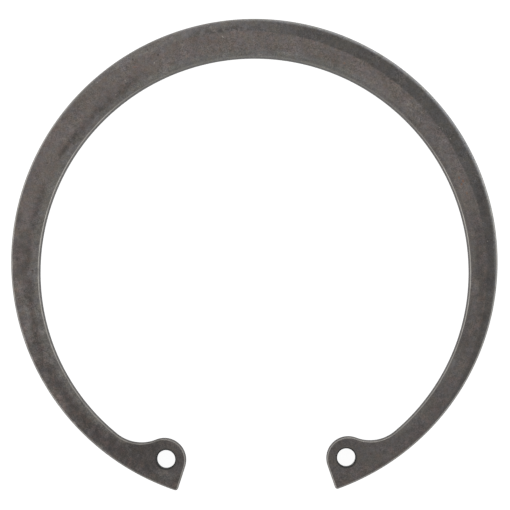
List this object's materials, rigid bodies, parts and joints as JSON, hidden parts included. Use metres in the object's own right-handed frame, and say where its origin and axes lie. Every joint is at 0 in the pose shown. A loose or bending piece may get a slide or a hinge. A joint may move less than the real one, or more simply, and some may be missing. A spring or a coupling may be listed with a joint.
{
  "type": "internal retaining ring",
  "caption": "Flat open snap ring for a groove in a round bore, widest opposite its gap and tapering to round-headed lugs with plier holes.",
  "frame": {"origin": "middle of the crown's outer arc, on the lower face", "axes": "+Z along the ring's axis, out of the upper face with the rolled edges; +X from the left lug's arm to the right one's, across the widest diameter; +Y from the gap between the lugs to the middle of the crown"},
  "size_m": [0.0954, 0.0924, 0.003],
  "materials": {
    "steel": "dark grey-brown phosphated and oiled spring steel, matt, with fine mottling and a cooler band along the rim"
  },
  "bodies": {
    "root": {"retaining_ring": "steel"}
  },
  "joints": []
}
